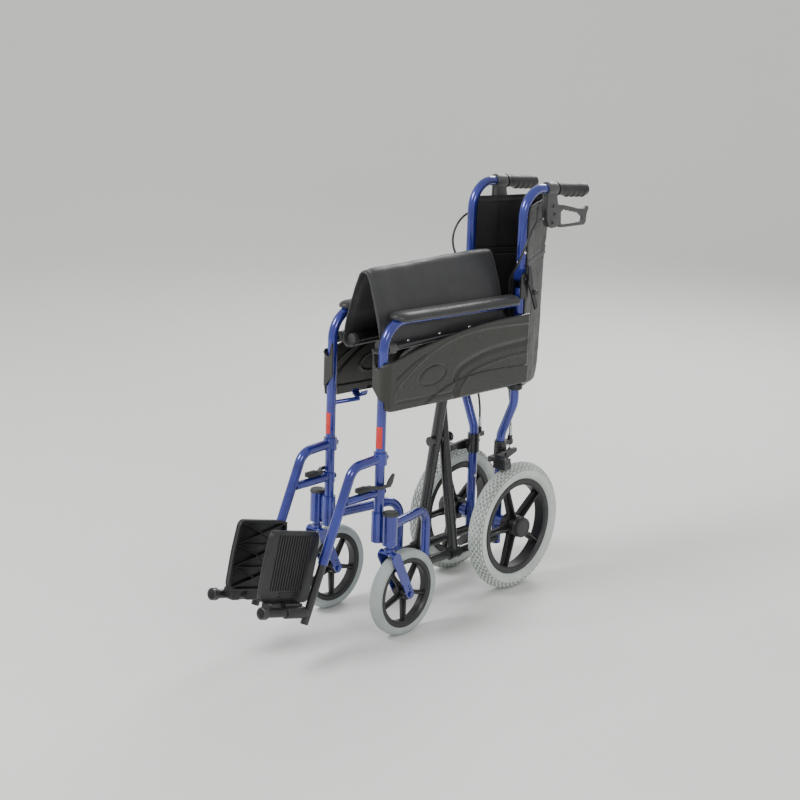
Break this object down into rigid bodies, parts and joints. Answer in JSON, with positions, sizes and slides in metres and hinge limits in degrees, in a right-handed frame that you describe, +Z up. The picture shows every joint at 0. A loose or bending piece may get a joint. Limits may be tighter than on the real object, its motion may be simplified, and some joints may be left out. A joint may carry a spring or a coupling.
{
  "type": "transport wheelchair",
  "caption": "Folding attendant-pushed wheelchair, stored folded: scissor frame, castors, swing-away legrests, flip-up footplates, half-folding back, hand brakes.",
  "frame": {"origin": "on the floor, at the middle of the overall length and width of the folded chair", "axes": "+Z up, -Y the way the chair faces, +X towards the chair's left side"},
  "size_m": [0.282, 1.0744, 0.9792],
  "materials": {
    "blue_paint": "gloss",
    "black_paint": "satin",
    "panel_plastic": "satin",
    "black_plastic": "satin",
    "grey_plastic": "matte",
    "grip_rubber": "matte",
    "grey_rubber": "matte",
    "castor_rubber": "matte",
    "pad_skin": "satin",
    "seat_vinyl": "satin",
    "back_fabric": "matte",
    "cable_sheath": "satin"
  },
  "bodies": {
    "left_side": {"front_arm_tube_left": "blue_paint", "rear_cane_left": "blue_paint", "front_socket_left": "blue_paint", "castor_cap_left": "black_plastic", "lower_rail_left": "black_paint", "side_panel_left": "panel_plastic", "arm_pad_left": "pad_skin", "back_hinge_left": "black_paint", "brake_cable_left": "cable_sheath", "brake_bracket_left": "black_paint"},
    "upper_back_left": {"upper_cane_left": "blue_paint", "grip_left": "grip_rubber", "brake_body_left": "grey_plastic"},
    "back_lever_left": {"back_lever_left": "black_paint"},
    "brake_lever_left": {"brake_lever_left": "grey_plastic"},
    "brake_arm_left": {"brake_arm_left": "black_paint"},
    "rear_wheel_left": {"rear_tyre_left": "grey_rubber", "rear_wheel_left": "black_plastic"},
    "castor_fork_left": {"castor_fork_left": "blue_paint"},
    "castor_wheel_left": {"castor_tyre_left": "castor_rubber", "castor_wheel_left": "black_plastic"},
    "hanger_left": {"hanger_left": "blue_paint", "foot_tube_left": "black_paint"},
    "hanger_latch_left": {"hanger_latch_left": "black_plastic"},
    "footplate_left": {"footplate_left": "black_plastic"},
    "seat_cloth_left": {"seat_cloth_left": "seat_vinyl"},
    "back_cloth_lower_left": {"back_cloth_lower_left": "back_fabric"},
    "back_cloth_upper_left": {"back_cloth_upper_left": "back_fabric"},
    "right_side": {"front_arm_tube_right": "blue_paint", "rear_cane_right": "blue_paint", "front_socket_right": "blue_paint", "castor_cap_right": "black_plastic", "lower_rail_right": "black_paint", "side_panel_right": "panel_plastic", "arm_pad_right": "pad_skin", "back_hinge_right": "black_paint", "brake_cable_right": "cable_sheath", "brake_bracket_right": "black_paint"},
    "upper_back_right": {"upper_cane_right": "blue_paint", "grip_right": "grip_rubber", "brake_body_right": "grey_plastic"},
    "back_lever_right": {"back_lever_right": "black_paint"},
    "brake_lever_right": {"brake_lever_right": "grey_plastic"},
    "brake_arm_right": {"brake_arm_right": "black_paint"},
    "rear_wheel_right": {"rear_tyre_right": "grey_rubber", "rear_wheel_right": "black_plastic"},
    "castor_fork_right": {"castor_fork_right": "blue_paint"},
    "castor_wheel_right": {"castor_tyre_right": "castor_rubber", "castor_wheel_right": "black_plastic"},
    "hanger_right": {"hanger_right": "blue_paint", "foot_tube_right": "black_paint"},
    "hanger_latch_right": {"hanger_latch_right": "black_plastic"},
    "footplate_right": {"footplate_right": "black_plastic"},
    "seat_cloth_right": {"seat_cloth_right": "seat_vinyl"},
    "back_cloth_lower_right": {"back_cloth_lower_right": "back_fabric"},
    "back_cloth_upper_right": {"back_cloth_upper_right": "back_fabric"},
    "brace_p": {"brace_p": "black_paint", "seat_rail_left": "black_paint"},
    "brace_q": {"brace_q": "black_paint", "seat_rail_right": "black_paint"}
  },
  "joints": [
    {"name": "fold", "type": "hinge", "parent": "left_side", "child": "brace_q", "pos_m": [0.042, 0.1282, 0.112], "axis": [0, -1, 0], "range_deg": [0, 30.97], "deforming": ["seat_cloth_left", "seat_cloth_right", "back_cloth_lower_left", "back_cloth_lower_right", "back_cloth_upper_left", "back_cloth_upper_right"]},
    {"name": "cross_pin", "type": "hinge", "parent": "brace_q", "child": "brace_p", "pos_m": [0, 0.1132, 0.386], "axis": [0, -1, 0], "range_deg": [-61.94, 0.01]},
    {"name": "right_rail_pivot", "type": "hinge", "parent": "brace_p", "child": "right_side", "pos_m": [-0.042, 0.0982, 0.112], "axis": [0, -1, 0], "range_deg": [-0.01, 30.98]},
    {"name": "seat_cloth_rail", "type": "hinge", "parent": "brace_p", "child": "seat_cloth_left", "pos_m": [0.042, 0.0532, 0.66], "axis": [0, -1, 0], "range_deg": [-0.01, 107.25]},
    {"name": "seat_cloth_fold", "type": "hinge", "parent": "seat_cloth_left", "child": "seat_cloth_right", "pos_m": [0, 0.0532, 0.83195], "axis": [0, -1, 0], "range_deg": [-152.56, 0.01]},
    {"name": "back_cloth_lower_cane", "type": "hinge", "parent": "left_side", "child": "back_cloth_lower_left", "pos_m": [0.077, 0.2892, 0.6], "axis": [0, 0, 1], "range_deg": [-0.01, 68.71]},
    {"name": "back_cloth_lower_fold", "type": "hinge", "parent": "back_cloth_lower_left", "child": "back_cloth_lower_right", "pos_m": [0, 0.48672, 0.6], "axis": [0, 0, -1], "range_deg": [-0.01, 137.42]},
    {"name": "back_cloth_upper_cane", "type": "hinge", "parent": "upper_back_left", "child": "back_cloth_upper_left", "pos_m": [0.077, 0.2892, 0.86], "axis": [0, 0, 1], "range_deg": [-0.01, 68.71]},
    {"name": "back_cloth_upper_fold", "type": "hinge", "parent": "back_cloth_upper_left", "child": "back_cloth_upper_right", "pos_m": [0, 0.48672, 0.86], "axis": [0, 0, -1], "range_deg": [-0.01, 137.42]},
    {"name": "back_fold_left", "type": "hinge", "parent": "left_side", "child": "upper_back_left", "pos_m": [0.077, 0.2892, 0.762], "axis": [-1, 0, 0], "range_deg": [0, 90], "deforming": ["back_cloth_upper_left", "back_cloth_upper_right", "brake_cable_left", "brake_cable_right"]},
    {"name": "back_fold_right", "type": "hinge", "parent": "right_side", "child": "upper_back_right", "pos_m": [-0.077, 0.2892, 0.762], "axis": [-1, 0, 0], "range_deg": [-0.01, 90.01]},
    {"name": "back_release_left", "type": "hinge", "parent": "left_side", "child": "back_lever_left", "pos_m": [0.097, 0.3022, 0.752], "axis": [1, 0, 0], "range_deg": [0, 18]},
    {"name": "brake_squeeze_left", "type": "hinge", "parent": "upper_back_left", "child": "brake_lever_left", "pos_m": [0.077, 0.3962, 0.9], "axis": [1, 0, 0], "range_deg": [0, 9], "stiffness_Nm_per_rad": 2, "springref_deg": -11.46},
    {"name": "brake_shoe_left", "type": "hinge", "parent": "left_side", "child": "brake_arm_left", "pos_m": [0.06, 0.2852, 0.327], "axis": [1, 0, 0], "range_deg": [-0.01, 2.71]},
    {"name": "rear_wheel_spin_left", "type": "hinge", "parent": "left_side", "child": "rear_wheel_left", "pos_m": [0.093, 0.2892, 0.156], "axis": [1, 0, 0], "continuous": true},
    {"name": "castor_swivel_left", "type": "hinge", "parent": "left_side", "child": "castor_fork_left", "pos_m": [0.113, -0.1768, 0.25], "axis": [0, 0, 1], "continuous": true},
    {"name": "castor_spin_left", "type": "hinge", "parent": "castor_fork_left", "child": "castor_wheel_left", "pos_m": [0.113, -0.1268, 0.1], "axis": [1, 0, 0], "continuous": true},
    {"name": "legrest_swing_left", "type": "hinge", "parent": "left_side", "child": "hanger_left", "pos_m": [0.077, -0.1768, 0.4], "axis": [0, 0, 1], "range_deg": [0, 90]},
    {"name": "legrest_catch_left", "type": "hinge", "parent": "hanger_left", "child": "hanger_latch_left", "pos_m": [0.077, -0.2218, 0.353], "axis": [0, 0, -1], "range_deg": [0, 14]},
    {"name": "footplate_flip_left", "type": "hinge", "parent": "hanger_left", "child": "footplate_left", "pos_m": [0.077, -0.39427, 0.113], "axis": [0, -0.9698, 0.244], "range_deg": [-0.01, 90.01]},
    {"name": "back_release_right", "type": "hinge", "parent": "right_side", "child": "back_lever_right", "pos_m": [-0.097, 0.3022, 0.752], "axis": [1, 0, 0], "range_deg": [0, 18]},
    {"name": "brake_squeeze_right", "type": "hinge", "parent": "upper_back_right", "child": "brake_lever_right", "pos_m": [-0.077, 0.3962, 0.9], "axis": [1, 0, 0], "range_deg": [0, 9], "stiffness_Nm_per_rad": 2, "springref_deg": -11.46},
    {"name": "brake_shoe_right", "type": "hinge", "parent": "right_side", "child": "brake_arm_right", "pos_m": [-0.06, 0.2852, 0.327], "axis": [1, 0, 0], "range_deg": [-0.01, 2.71]},
    {"name": "rear_wheel_spin_right", "type": "hinge", "parent": "right_side", "child": "rear_wheel_right", "pos_m": [-0.093, 0.2892, 0.156], "axis": [1, 0, 0], "continuous": true},
    {"name": "castor_swivel_right", "type": "hinge", "parent": "right_side", "child": "castor_fork_right", "pos_m": [-0.113, -0.1768, 0.25], "axis": [0, 0, 1], "continuous": true},
    {"name": "castor_spin_right", "type": "hinge", "parent": "castor_fork_right", "child": "castor_wheel_right", "pos_m": [-0.113, -0.1268, 0.1], "axis": [1, 0, 0], "continuous": true},
    {"name": "legrest_swing_right", "type": "hinge", "parent": "right_side", "child": "hanger_right", "pos_m": [-0.077, -0.1768, 0.4], "axis": [0, 0, -1], "range_deg": [0, 90]},
    {"name": "legrest_catch_right", "type": "hinge", "parent": "hanger_right", "child": "hanger_latch_right", "pos_m": [-0.077, -0.2218, 0.353], "axis": [0, 0, 1], "range_deg": [0, 14]},
    {"name": "footplate_flip_right", "type": "hinge", "parent": "hanger_right", "child": "footplate_right", "pos_m": [-0.077, -0.39427, 0.113], "axis": [0, 0.9698, -0.244], "range_deg": [-0.01, 90.01]}
  ],
  "couplings": [
    {"joint": "cross_pin", "follows": "fold", "ratio": -2},
    {"joint": "right_rail_pivot", "follows": "fold", "ratio": 1},
    {"joint": "seat_cloth_rail", "follows": "fold", "ratio": 3.463},
    {"joint": "seat_cloth_fold", "follows": "fold", "ratio": -4.9261},
    {"joint": "back_cloth_lower_cane", "follows": "fold", "ratio": 2.2186},
    {"joint": "back_cloth_lower_fold", "follows": "fold", "ratio": 4.4371},
    {"joint": "back_cloth_upper_cane", "follows": "fold", "ratio": 2.2186},
    {"joint": "back_cloth_upper_fold", "follows": "fold", "ratio": 4.4371},
    {"joint": "back_fold_right", "follows": "back_fold_left", "ratio": 1},
    {"joint": "brake_shoe_left", "follows": "brake_squeeze_left", "ratio": 0.3},
    {"joint": "footplate_flip_left", "follows": "fold", "ratio": 2.9063},
    {"joint": "brake_shoe_right", "follows": "brake_squeeze_right", "ratio": 0.3},
    {"joint": "footplate_flip_right", "follows": "fold", "ratio": 2.9063}
  ]
}
